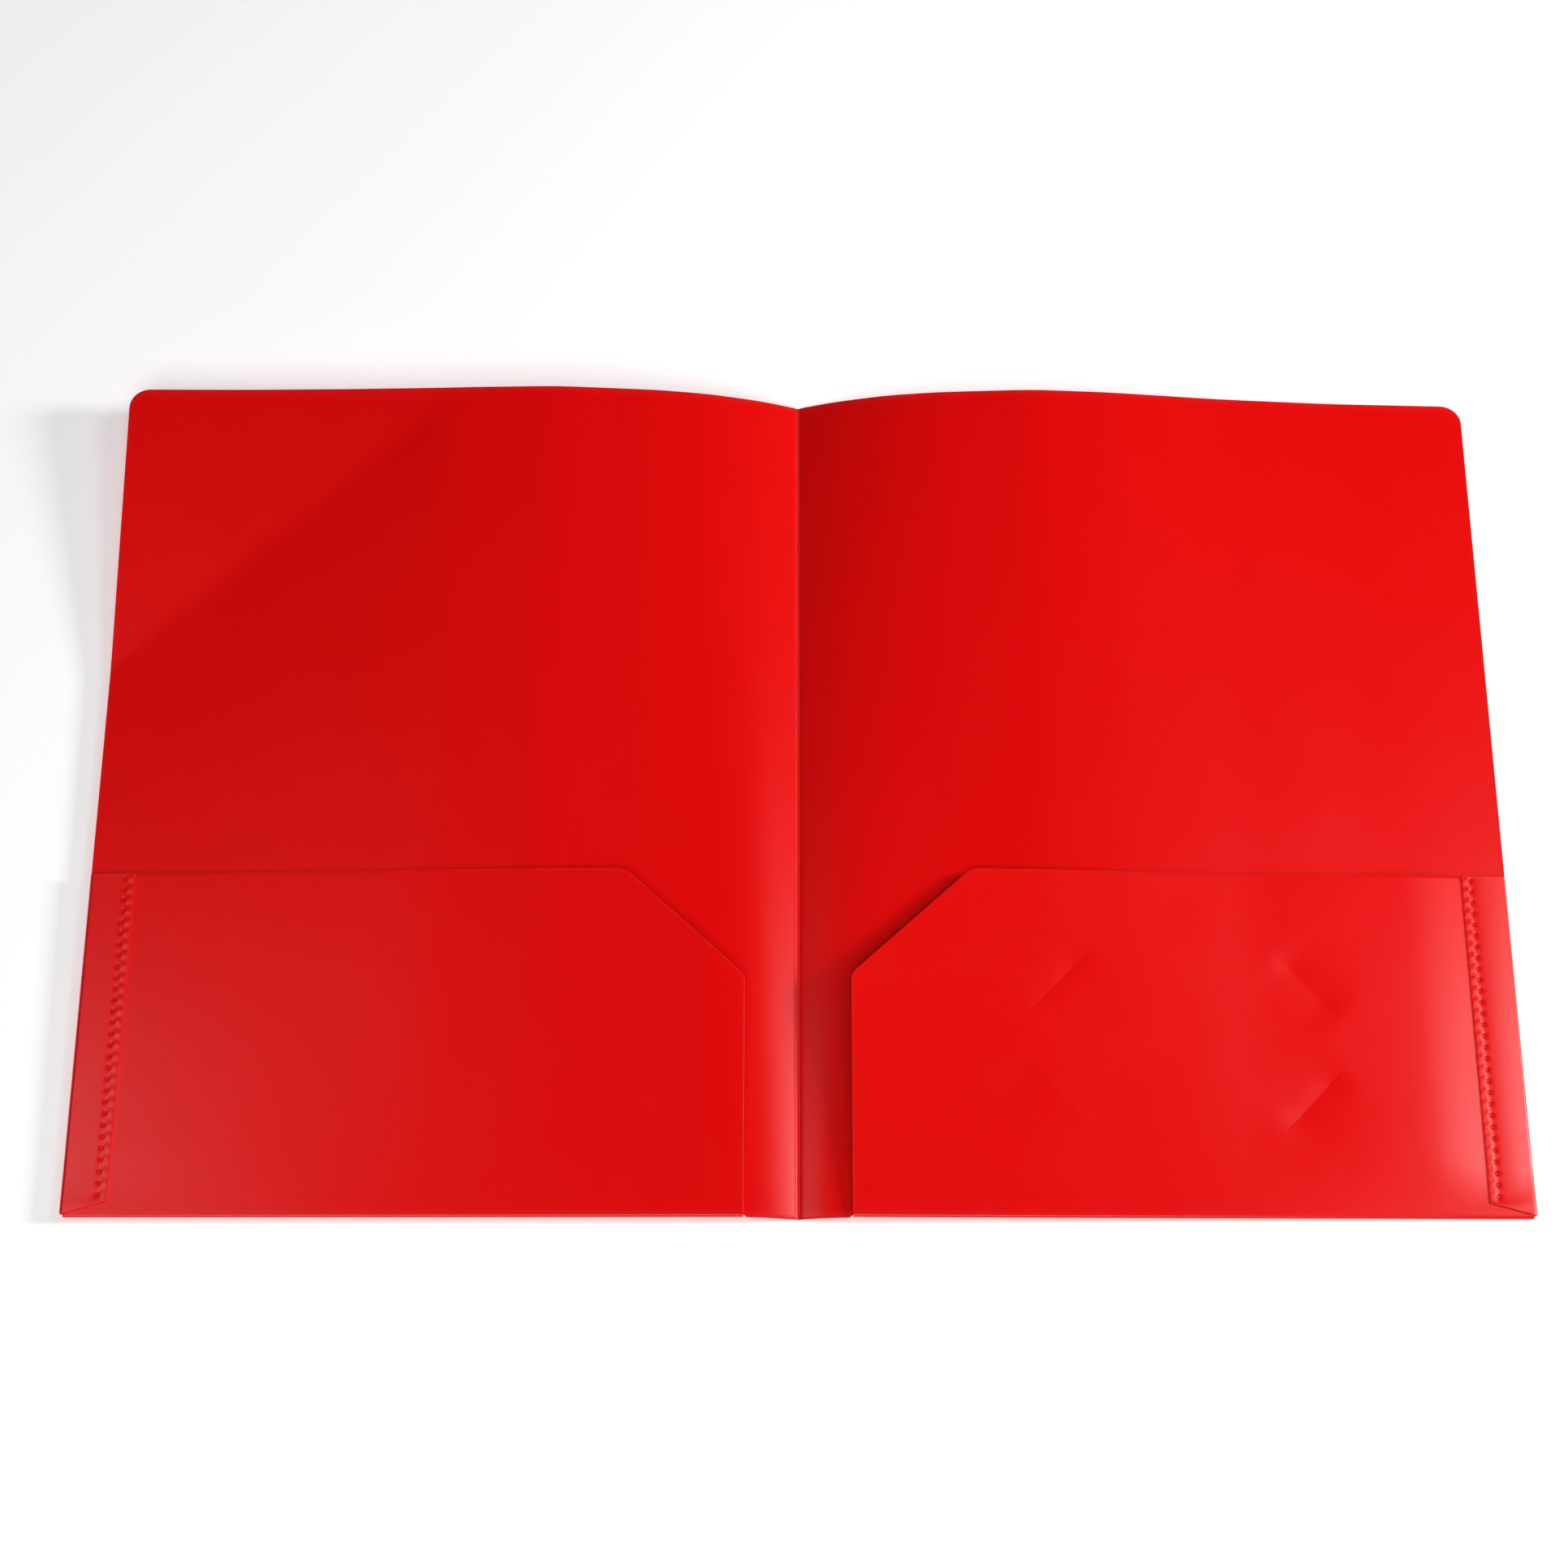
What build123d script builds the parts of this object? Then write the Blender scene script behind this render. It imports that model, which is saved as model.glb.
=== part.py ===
from build123d import *
import os

os.makedirs("parts", exist_ok=True)

# Two pocket folder of thin plastic sheet, lying open with its pockets up.
# Lengths are in millimetres. X runs across both leaves with the crease at 0,
# Y runs up the page, Z is up, and the table is at height 0.
# Each leaf is drawn with its distance from the crease and its height above the
# bottom edge, and is then set in place on its own side.

# The sheet and the leaf
sheet = 0.5
folder_height = 298.5
cover_width = 235.0
corner_radius = 7.0

# The crease between the leaves, and the lines where each leaf flexes beside it
crease_axis_height = 0.3
crease_radius = 0.35
crease_clearance = 0.1
seam_gap = 0.1
seam_foot = 16.5
seam_head = 32.0
seam_foot_rise = 2.0
seam_head_rise = 9.5

# How high each leaf stands off the table: the arch of its top edge, and its outer
# corners at the top and at the foot.
# Each pair is a share of the run from seam to outer edge, and of the arch.
right_arch = 12.9
right_tip = 0.8
right_foot_tip = 0.0
right_wave_shares = [(0.08, 0.85), (0.26, 1.0), (0.50, 0.64), (0.76, 0.24)]
left_arch = 15.9
left_tip = 14.0
left_foot_tip = 2.2
left_wave_shares = [(0.08, 0.82), (0.26, 1.0), (0.50, 0.95), (0.76, 0.88)]

# The pocket, folded up from the bottom edge with room for paper behind it
pocket_height = 117.5
pocket_inset = 17.5
pocket_corner_run = 40.0
pocket_corner_drop = 37.0
pocket_corner_radius = 2.5
paper_room = 0.8

# The mouth: the corner of the pocket that stands open beside the crease
mouth_run = 57.0
mouth_gap = 0.15
mouth_corner_height = 10.0

# The flap folded in from the outer edge over the pocket, and its weld marks
flap_width = 14.0
flap_lay_gap = 0.1
flap_foot_inner = 5.0
flap_foot_outer = 1.0
weld_inset = 3.0
weld_pitch = 3.8
weld_start = 7.0
weld_end = 3.0
weld_width = 1.1

# The slits that hold a card by its corners, on the right pocket
slit_centre_out = 126.4
slit_centre_up = 58.5
slit_half_across = 40.8
slit_half_up = 20.0
slit_length = 27.3
slit_width = 0.4
slit_angle = 46.5

overrun = 2.0

# Worked out from the sizes above
fold_outer = sheet + paper_room / 2
fold_inner = paper_room / 2
pocket_lift = sheet + paper_room
flap_lift = pocket_lift + sheet + flap_lay_gap
side_fold_outer = (flap_lift + sheet) / 2
side_fold_inner = side_fold_outer - sheet
weld_count = int((pocket_height - weld_start - weld_end) / weld_pitch) + 1
seam_half_gap = seam_gap / 2
foot_place = fold_outer - overrun
head_place = folder_height + overrun
tall = folder_height


def strip(edge, lift, thickness):
    """Upright face between an edge raised by lift and the same edge raised by thickness more."""
    lower = Pos(0, 0, lift) * edge
    upper = Pos(0, 0, thickness) * lower
    near = Line(lower @ 0, upper @ 0)
    far = Line(lower @ 1, upper @ 1)
    return make_face([lower, far, upper, near])


def slab(lines, lift=0, thickness=sheet):
    """Ruled sheet from the foot line to the head line of a leaf."""
    foot, head = lines
    return loft([strip(foot, lift, thickness), strip(head, lift, thickness)], ruled=True)


def cover_lines(arch, tip, foot_tip, wave_shares):
    """Underside of a cover, a little oversize, at its straight foot and at its waved head."""
    outer = cover_width + overrun
    run = outer - seam_head
    start = (seam_head + seam_half_gap, head_place, seam_head_rise)
    wave = [(seam_head + run * out, head_place, arch * up) for out, up in wave_shares]
    foot = Line((seam_foot + seam_half_gap, foot_place, seam_foot_rise), (outer, foot_place, foot_tip))
    return foot, Spline(start, *wave, (outer, head_place, tip))


def gutter_lines():
    """Underside of the strip between the crease and the flex line, at foot and head."""
    start = crease_radius + crease_clearance
    foot = Line((start, foot_place, 0), (seam_foot - seam_half_gap, foot_place, seam_foot_rise))
    head = Line((start, head_place, 0), (seam_head - seam_half_gap, head_place, seam_head_rise))
    return foot, head


def sheet_height(lines, out, up):
    """Height of a cover's underside at a place, found by halving along its rulings."""
    foot, head = lines
    share = (up - foot_place) / (head_place - foot_place)
    low, high = 0.0, 1.0
    for _ in range(40):
        middle = (low + high) / 2
        point = (foot @ middle) * (1 - share) + (head @ middle) * share
        if point.X < out:
            low = middle
        else:
            high = middle
    return point.Z


def prism(points, rounded=(), radius=0):
    """Upright prism on a plan outline, with the named corners rounded."""
    face = make_face(Polyline(*points, close=True))
    corners = [face.vertices().sort_by_distance((*place, 0))[0] for place in rounded]
    if corners:
        face = fillet(corners, radius)
    return extrude(Pos(0, 0, -overrun) * face, amount=tall)


def cover(lines):
    """The leaf itself, with its outer top corner rounded."""
    corner = (cover_width, folder_height)
    outline = [(0, fold_outer), (cover_width, fold_outer), corner, (0, folder_height)]
    return slab(lines) & prism(outline, [corner], corner_radius)


def gutter():
    """The strip between the crease and the line where the leaf flexes."""
    outline = [(0, 0), (cover_width, 0), (cover_width, folder_height), (0, folder_height)]
    return slab(gutter_lines()) & prism(outline)


def half_tube(start, end, outer, inner, open_way):
    """Half tube between two points, with its open side towards open_way."""
    way = end - start
    across = Vector(*open_way)
    ring = Circle(outer) - Circle(inner)
    half = ring & Rectangle(outer, 2 * outer, align=(Align.MAX, Align.CENTER))
    along = Vector(way.X, way.Y, 0).normalized()
    section = Plane(origin=start, x_dir=across, z_dir=along) * half
    return extrude(section, amount=way.length, dir=way)


def bottom_fold(lines):
    """Half tube along the bottom edge that joins the cover to the pocket."""
    near_height = sheet_height(lines, pocket_inset, fold_outer) + fold_outer
    far_height = sheet_height(lines, cover_width, fold_outer) + fold_outer
    start = Vector(pocket_inset, fold_outer, near_height)
    end = Vector(cover_width, fold_outer, far_height)
    return half_tube(start, end, fold_outer, fold_inner, (0, 1, 0))


def mouth_ends():
    """Foot and head of the line where the pocket's loose corner flexes."""
    return Vector(pocket_inset, fold_outer), Vector(pocket_inset + mouth_run, pocket_height)


def pocket(lines, slits):
    """The pocket panel, from the flex line of its mouth to the outer edge."""
    foot, head = mouth_ends()
    way = (head - foot).normalized()
    shift = Vector(way.Y, -way.X) * (mouth_gap / 2)
    low = foot + shift - way * (shift.Y / way.Y)
    high = head + shift - way * (shift.Y / way.Y)
    outline = [(low.X, low.Y), (high.X, high.Y), (cover_width, pocket_height), (cover_width, fold_outer)]
    panel = slab(lines, pocket_lift) & prism(outline)
    if slits:
        panel -= card_slits()
    return panel


def card_slits():
    """Four slanted cuts that take the corners of a card."""
    cut = extrude(Rectangle(slit_length, slit_width), amount=tall)
    cuts = Part()
    for across in (-1, 1):
        for up in (-1, 1):
            place = Pos(slit_centre_out + across * slit_half_across, slit_centre_up + up * slit_half_up, 0)
            cuts += place * Rot(0, 0, -across * up * slit_angle) * cut
    return cuts


def mouth(lines):
    """The pocket's loose corner: a flat plate tilted up about its flex line."""
    foot, head = mouth_ends()
    top = pocket_lift + sheet
    shoulder = (pocket_inset, pocket_height - pocket_corner_drop)
    crown = (pocket_inset + pocket_corner_run, pocket_height)
    way = (head - foot).normalized()
    shift = Vector(-way.Y, way.X) * (mouth_gap / 2)
    rise = foot + shift - way * (shift.X / way.X)
    high = head + shift - way * (shift.Y / way.Y)
    outline = [(rise.X, rise.Y), shoulder, crown, (high.X, high.Y)]
    foot_point = Vector(foot.X, foot.Y, sheet_height(lines, foot.X, foot.Y) + top)
    head_point = Vector(head.X, head.Y, sheet_height(lines, head.X, head.Y) + top)
    corner = Vector(*shoulder, mouth_corner_height)
    normal = (head_point - foot_point).cross(corner - foot_point)
    plane = Plane(origin=foot_point, x_dir=head_point - foot_point, z_dir=normal)
    plate = extrude(plane * Rectangle(2 * folder_height, 2 * folder_height), amount=-sheet)
    return plate & prism(outline, [shoulder, crown], pocket_corner_radius)


def side_fold(lines):
    """Half tube along the outer edge that carries the flap round the pocket's edge."""
    low_height = sheet_height(lines, cover_width, flap_foot_outer) + side_fold_outer
    high_height = sheet_height(lines, cover_width, pocket_height) + side_fold_outer
    start = Vector(cover_width, flap_foot_outer, low_height)
    end = Vector(cover_width, pocket_height, high_height)
    return half_tube(start, end, side_fold_outer, side_fold_inner, (-1, 0, 0))


def weld_pins():
    """Upright square pins at the weld marks, in a row along the flap's inner edge."""
    out = cover_width - flap_width + weld_inset
    mark = Rectangle(weld_width, weld_width)
    marks = [Pos(out, weld_start + weld_pitch * i, 0) * mark for i in range(weld_count)]
    return extrude(Sketch() + marks, amount=tall)


def side_flap(lines):
    """The flap over the pocket's outer edge, with a mitred foot and a hole at each weld."""
    inner = cover_width - flap_width
    foot = [(inner, flap_foot_inner), (cover_width, flap_foot_outer)]
    head = [(cover_width, pocket_height), (inner, pocket_height)]
    return (slab(lines, flap_lift) & prism(foot + head)) - weld_pins()


def weld_row(lines):
    """Weld nuggets that fill the flap's holes and stand on the pocket."""
    return slab(lines, pocket_lift + sheet, flap_lay_gap + sheet) & weld_pins()


def spine_crease():
    """Scored bead between the leaves, round about its axis and flat below."""
    width = 2 * crease_radius
    above = Pos(0, -crease_axis_height) * Rectangle(width, width + overrun, align=(Align.CENTER, Align.MIN))
    section = Circle(crease_radius) & above
    start = Plane(origin=(0, folder_height, crease_axis_height), x_dir=(1, 0, 0), z_dir=(0, -1, 0))
    return extrude(start * section, amount=folder_height)


def leaf(arch, tip, foot_tip, wave_shares, slits):
    """Every piece of one leaf, drawn on the right-hand side."""
    lines = cover_lines(arch, tip, foot_tip, wave_shares)
    return {
        "cover": cover(lines),
        "gutter": gutter(),
        "bottom_fold": bottom_fold(lines),
        "pocket": pocket(lines, slits),
        "pocket_mouth": mouth(lines),
        "side_fold": side_fold(lines),
        "side_flap": side_flap(lines),
        "weld_row": weld_row(lines),
    }


def save(name, solid):
    """Write one piece, centred on the open folder."""
    export_step(Pos(0, -folder_height / 2, 0) * solid, f"parts/{name}.step")


save("spine_crease", spine_crease())
for name, solid in leaf(right_arch, right_tip, right_foot_tip, right_wave_shares, slits=True).items():
    save(f"right_{name}", solid)
for name, solid in leaf(left_arch, left_tip, left_foot_tip, left_wave_shares, slits=False).items():
    save(f"left_{name}", mirror(solid, about=Plane.YZ))
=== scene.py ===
# %% [markdown]
# # A red pocket folder, lying open
#
# The real folder is one sheet of polypropylene about half a millimetre thick. It is cut out,
# scored down the middle, folded up along the bottom to make a pocket on each leaf, folded in
# at the sides, and welded. This lesson dresses the measured solids of that folder: every piece
# below is one smooth surface worked out with numpy. Flaps, weld marks and crease ride on the
# bodies that move them; covers and pockets are fixed where they lie.

# %% Load the frame
import math

import bmesh
import bpy
import numpy as np
from mathutils import Matrix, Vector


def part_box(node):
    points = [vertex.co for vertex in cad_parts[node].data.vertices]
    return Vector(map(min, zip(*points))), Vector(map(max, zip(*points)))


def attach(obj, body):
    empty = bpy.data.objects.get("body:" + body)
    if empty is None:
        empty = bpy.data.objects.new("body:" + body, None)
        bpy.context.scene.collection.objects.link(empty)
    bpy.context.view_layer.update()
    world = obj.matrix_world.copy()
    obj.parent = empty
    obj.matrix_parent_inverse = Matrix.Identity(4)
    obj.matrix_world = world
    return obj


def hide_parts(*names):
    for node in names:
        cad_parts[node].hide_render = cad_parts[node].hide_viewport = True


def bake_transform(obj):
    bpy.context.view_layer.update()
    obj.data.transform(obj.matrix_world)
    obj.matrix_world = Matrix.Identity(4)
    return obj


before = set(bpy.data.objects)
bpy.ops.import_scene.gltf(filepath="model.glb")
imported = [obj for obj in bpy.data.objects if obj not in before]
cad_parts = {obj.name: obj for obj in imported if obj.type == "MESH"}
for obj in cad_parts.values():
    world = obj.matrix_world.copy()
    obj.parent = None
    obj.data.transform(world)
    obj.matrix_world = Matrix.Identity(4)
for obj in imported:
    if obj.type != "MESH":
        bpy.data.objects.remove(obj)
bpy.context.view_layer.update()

# %% [markdown]
# ## Sizes
#
# Everything is in metres, in the frame of the solids. Each size could be typed in again, but then
# a piece might drift from the solid that it stands for. So sizes that the solids already have are
# read from their boxes. The few that a box doesn't show, such as the thickness of the sheet, are
# named here.

# %% Read the sizes of the solids
MM = 0.001
SIDES = {"right": 1.0, "left": -1.0}

sheet = 0.5 * MM
paper_room = 0.8 * MM
flap_lay_gap = 0.1 * MM

cover_low, cover_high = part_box("right_cover")
fold_low, fold_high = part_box("right_bottom_fold")
pocket_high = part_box("right_pocket")[1]
flap_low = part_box("right_side_flap")[0]
side_fold_low, side_fold_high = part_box("right_side_fold")
bead_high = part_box("spine_crease")[1]

foot = cover_low.y
gutter_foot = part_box("right_gutter")[0].y
head = cover_high.y
outer = cover_high.x
fold_radius = fold_high.y - fold_low.y
pocket_inner = fold_low.x
pocket_top = pocket_high.y
flap_inner = flap_low.x
flap_foot = side_fold_low.y
side_radius = side_fold_high.x - outer
bead_radius = bead_high.x
pocket_lift = sheet + paper_room
flap_lift = pocket_lift + sheet + flap_lay_gap
print("leaf", round(outer / MM, 1), "x", round((head - foot) / MM, 1), "mm, pocket top at",
      round((pocket_top - foot) / MM, 1), "mm")

# %% [markdown]
# ## The lie of the sheet
#
# A new plastic folder doesn't lie flat. The score pulls both leaves down to the table at the
# crease, and beside it they rise in an arch that is highest at the top edge. The pockets stiffen
# the bottom edge, so it stays nearly straight. The leaves could be sculpted by hand, but straight
# sheet that is bent one way is a ruled surface: straight lines run from a low profile at the bottom
# edge to an arched one at the top. Each profile is a few listed heights, joined by straight
# lines and softened with a bell curve so that no kink shows.

# %% Profiles across one leaf
soften = 4.5 * MM
bell_reach = 3 * soften
profile_step = 0.25 * MM
profile_reach = 80 * MM

# Distance from the crease and height, in millimetres
foot_heights = {
    "right": [(0, 0), (6, 1.8), (16.5, 2.75), (23, 2.75), (40, 1.95), (235, 0)],
    "left": [(0, 0), (5, 1.45), (11, 2.6), (17, 3.3), (23, 3.35), (40, 2.35), (235, 2.2)],
}
head_heights = {
    "right": [(0, 0), (13, 4.8), (32, 9.4), (50, 11.6), (83, 13.2),
              (110, 11.2), (150, 6.2), (190, 2.8), (235, 0.8)],
    "left": [(0, 0), (13, 5.4), (32, 10.6), (50, 13.4), (85, 16.2),
             (120, 15.4), (160, 11.0), (195, 7.7), (235, 4.7)],
}


def smooth_profile(points):
    """Heights over distance from the crease: straight lines through the points, mirrored with a
    change of sign at the crease and carried on past the outer edge, then averaged with a bell curve."""
    at, height = np.array(points, float).T * MM
    places = np.arange(-profile_reach, at[-1] + profile_reach, profile_step)
    end_slope = (height[-1] - height[-2]) / (at[-1] - at[-2])
    beyond = np.maximum(np.abs(places) - at[-1], 0) * end_slope
    raw = np.sign(places) * (np.interp(np.abs(places), at, height) + beyond)
    reach = np.arange(-bell_reach, bell_reach, profile_step)
    bell = np.exp(-0.5 * (reach / soften) ** 2)
    smooth = np.convolve(raw, bell / bell.sum(), mode="same")
    return places, smooth - np.interp(0, places, smooth)


foot_profile = {side: smooth_profile(points) for side, points in foot_heights.items()}
head_profile = {side: smooth_profile(points) for side, points in head_heights.items()}
for side in SIDES:
    print(side, "arch at the top edge", round(float(np.max(head_profile[side][1])) / MM, 2), "mm")

# %% [markdown]
# The left leaf was once bent along a slanted line, and its outer top corner still stands up past
# that line. Two flat meshes could meet there, but the real bend is soft. So the corner gets a
# slope that starts gently before the line.

# %% Height of the underside
bend_angle = math.radians(7.0)
bend_slope = {"right": 0.0, "left": math.tan(bend_angle)}
bend_ends = np.array([(235, 194), (122, 298.5)]) * MM + (0, gutter_foot)
bend_soft = 1.4 * MM


def past_bend(out, up):
    """Distance beyond the slanted line that cuts off the outer top corner, eased to zero before it."""
    way = (bend_ends[1] - bend_ends[0]) / np.hypot(*(bend_ends[1] - bend_ends[0]))
    beyond = (out - bend_ends[0, 0]) * way[1] - (up - bend_ends[0, 1]) * way[0]
    return bend_soft * np.logaddexp(0, beyond / bend_soft)


def underside(side, out, up):
    """Height of the sheet's underside: the foot profile and the head profile mixed by the share of
    the way up the page, and a slope that lifts the left leaf's corner past its bend."""
    share = (up - foot) / (head - foot)
    low = np.interp(out, *foot_profile[side])
    high = np.interp(out, *head_profile[side])
    return low * (1 - share) + high * share + bend_slope[side] * past_bend(out, up)


for side in SIDES:
    print(side, "outer top corner at", round(float(underside(side, outer, head)) / MM, 2), "mm")

# %% [markdown]
# ## From grids to sheets
#
# A thin sheet could be one grid with a Solidify modifier. But this sheet's two faces differ: a fold
# is wide outside and tight inside, and the sheet is thinner at the score. So each piece is a grid of
# points on its upper face and another on its lower face. Joining the two round their rims closes
# the sheet, so it has a real edge that catches light.

# %% Two grids to one closed sheet
def grid_quads(index):
    """Four corners of every cell of a grid of point numbers."""
    corners = (index[:-1, :-1], index[1:, :-1], index[1:, 1:], index[:-1, 1:])
    return np.stack(corners, axis=-1).reshape(-1, 4)


def rim(shape):
    """Point numbers once round the border of a grid of that shape."""
    index = np.arange(shape[0] * shape[1]).reshape(shape)
    return np.concatenate([index[:-1, 0], index[-1, :-1], index[:0:-1, -1], index[0, :0:-1]])


def new_object(name, points, faces):
    """A mesh object at the origin with its faces turned outwards."""
    mesh = bpy.data.meshes.new(name)
    mesh.from_pydata(points.reshape(-1, 3).tolist(), [], faces)
    work = bmesh.new()
    work.from_mesh(mesh)
    bmesh.ops.recalc_face_normals(work, faces=work.faces)
    work.to_mesh(mesh)
    work.free()
    piece = bpy.data.objects.new(name, mesh)
    bpy.context.scene.collection.objects.link(piece)
    return piece


def sheet_object(name, upper, lower):
    """Closed sheet between two grids: both faces, and a band of quads round the rim."""
    shape = upper.shape[:2]
    index = np.arange(shape[0] * shape[1]).reshape(shape)
    below = index + index.size
    border = rim(shape)
    ahead = np.roll(border, -1)
    band = np.stack([border, ahead, ahead + index.size, border + index.size], -1)
    quads = np.concatenate([grid_quads(index), grid_quads(below)[:, ::-1], band])
    points = np.concatenate([upper.reshape(-1, 3), lower.reshape(-1, 3)])
    print(name, "starts from a grid of", *shape)
    return new_object(name, points, quads.tolist())


# %% [markdown]
# ## Cut edges
#
# A cutting die leaves the sheet's edge slightly round, and without that the edge would look like a
# drawn line. The round could be part of every grid. A Bevel modifier on all edges past a sharp angle
# does it in one step instead. It is then made part of the mesh, so that later steps see its points.

# %% Round the edges
edge_round = 0.11 * MM
edge_segments = 2
sharp_angle = math.radians(38)


def apply_modifiers(piece):
    """Make the modifiers part of the mesh, so that later steps see the final points."""
    graph = bpy.context.evaluated_depsgraph_get()
    done = bpy.data.meshes.new_from_object(piece.evaluated_get(graph))
    piece.modifiers.clear()
    old, piece.data = piece.data, done
    name = old.name
    bpy.data.meshes.remove(old)
    done.name = name


def smooth_faces(piece, angle=sharp_angle):
    """Smooth shading, with edges past an angle kept crisp."""
    mesh = piece.data
    mesh.polygons.foreach_set("use_smooth", np.ones(len(mesh.polygons), bool))
    mesh.set_sharp_from_angle(angle=angle)


def round_edges(piece):
    """A narrow bevel on every sharp edge, then smooth shading."""
    bevel = piece.modifiers.new("cut edge", "BEVEL")
    bevel.width = edge_round
    bevel.segments = edge_segments
    bevel.limit_method = "ANGLE"
    bevel.angle_limit = sharp_angle
    apply_modifiers(piece)
    smooth_faces(piece)


print("cut edges are rounded by", round(edge_round / MM, 2), "mm in", edge_segments, "steps")

# %% [markdown]
# ## Strain and edge sheen
#
# Folded polypropylene is a little paler than the rest, because strained plastic scatters more
# light. Cut edges are made paler too, as a painted highlight for the light that the edge of a sheet
# catches. A material can't tell where a sheet was cut. A painted picture could show it, but here
# each point of a piece carries one number for both, worked out from its distance to the rim.

# %% Paint strain paling and edge sheen on the points
edge_fade = 0.45 * MM
block_points = 2000


def mesh_points(piece):
    """All points of a piece as one array."""
    points = np.empty(len(piece.data.vertices) * 3)
    piece.data.vertices.foreach_get("co", points)
    return points.reshape(-1, 3)


def rim_distance(points, line):
    """Distance of each point from the nearest point of a line of points, in blocks to save memory."""
    blocks = np.array_split(points, max(1, len(points) // block_points))
    return np.concatenate([np.sqrt(((b[:, None] - line[None]) ** 2).sum(-1).min(1)) for b in blocks])


# The paler cut edge is a painted highlight, for the light that the edge of a sheet catches.
def cut_edge_sheen(points, upper):
    """Painted highlight of a cut edge: 1 at the rim of the upper face, falling off with distance from it.
    """
    line = upper.reshape(-1, 3)[rim(upper.shape[:2])]
    return np.exp(-rim_distance(points, line) / edge_fade)


def paint_stress_and_sheen(piece, values):
    """Store each point's paling, by strain and by painted edge highlight, for the finishes to read."""
    layer = piece.data.attributes.new("stress_and_sheen", "FLOAT", "POINT")
    layer.data.foreach_set("value", np.asarray(values, np.float32))
    print(piece.name, "mean stress", round(float(np.mean(values)), 3))


# %% [markdown]
# ## Finishes
#
# All of the folder is one satin red plastic. A single flat red would look like paint. Three effects
# make it look like a rolled sheet in the light: a fine grain, a colour that drifts, and paler edges
# and folds, where the folds are paled by strain and the cut edges get a painted highlight. They sit
# in two node groups, so that every finish can use them at its own strength.

# %% Node group helpers
FLOAT = "NodeSocketFloat"
COLOR = "NodeSocketColor"
VECTOR = "NodeSocketVector"


def new_group(name, inputs, outputs):
    """A shader node group with named sockets, and its input and output nodes."""
    group = bpy.data.node_groups.new(name, "ShaderNodeTree")
    for label, kind, value in inputs:
        socket = group.interface.new_socket(label, in_out="INPUT", socket_type=kind)
        socket.default_value = value
    for label, kind in outputs:
        group.interface.new_socket(label, in_out="OUTPUT", socket_type=kind)
    print("node group:", name)
    return group, group.nodes.new("NodeGroupInput"), group.nodes.new("NodeGroupOutput")


def node(tree, kind, **settings):
    """Add a node and set its properties, or its inputs where the name is a socket."""
    made = tree.nodes.new(kind)
    for name, value in settings.items():
        if name in made.inputs.keys():
            made.inputs[name].default_value = value
        else:
            setattr(made, name, value)
    return made


def math_node(tree, operation, first, second):
    """A math node whose two inputs are sockets or plain numbers."""
    made = tree.nodes.new("ShaderNodeMath")
    made.operation = operation
    for slot, value in zip(made.inputs, (first, second)):
        if isinstance(value, (int, float)):
            slot.default_value = value
        else:
            tree.links.new(value, slot)
    return made.outputs[0]


# %% [markdown]
# The rollers that press the sheet leave a fine pebbled grain on slow waves, and the shine drifts
# with handling. As real geometry the grain would need millions of faces, so it is a height for a
# Bump node, and the drift is a change of roughness.

# %% Roller grain
noise_middle = 0.5


def build_roller_grain():
    """Height of a fine pebbled grain over slow waves, and a roughness that drifts with smudges."""
    inputs = [("Place", VECTOR, (0, 0, 0)), ("Grain", FLOAT, 1.0), ("Wave", FLOAT, 1.0),
              ("Roughness", FLOAT, 0.4), ("Drift", FLOAT, 0.05)]
    group, start, end = new_group("roller_grain", inputs, [("Height", FLOAT), ("Roughness", FLOAT)])
    link = group.links.new
    pebble = node(group, "ShaderNodeTexNoise", Scale=2600.0, Detail=2.0, Roughness=0.55)
    wave = node(group, "ShaderNodeTexNoise", Scale=16.0, Detail=1.0, Roughness=0.4)
    smudge = node(group, "ShaderNodeTexNoise", Scale=38.0, Detail=4.0, Roughness=0.6)
    for texture in (pebble, wave, smudge):
        link(start.outputs["Place"], texture.inputs["Vector"])
    fine = math_node(group, "MULTIPLY", pebble.outputs["Fac"], start.outputs["Grain"])
    slow = math_node(group, "MULTIPLY", wave.outputs["Fac"], start.outputs["Wave"])
    link(math_node(group, "ADD", fine, slow), end.inputs["Height"])
    centred = math_node(group, "SUBTRACT", smudge.outputs["Fac"], noise_middle)
    drift = math_node(group, "MULTIPLY", centred, start.outputs["Drift"])
    link(math_node(group, "ADD", drift, start.outputs["Roughness"]), end.inputs["Roughness"])
    return group


roller_grain = build_roller_grain()

# %% [markdown]
# The colour of a rolled sheet drifts a little over a hand's width, so it is mixed from two close
# reds by a slow noise. Folds then go towards a paler red by their strain, and cut edges by a painted
# highlight. A plain mix would look airbrushed, so a finer noise breaks it up.

# %% Pale edges and folds
MIX_FIRST, MIX_SECOND, MIX_RESULT = 6, 7, 2
speck_gain = 1.7


def mix_colours(group, factor, first, second):
    """A colour that goes from first to second with the factor."""
    mix = node(group, "ShaderNodeMix", data_type="RGBA")
    group.links.new(factor, mix.inputs["Factor"])
    group.links.new(first, mix.inputs[MIX_FIRST])
    group.links.new(second, mix.inputs[MIX_SECOND])
    return mix.outputs[MIX_RESULT]


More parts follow.
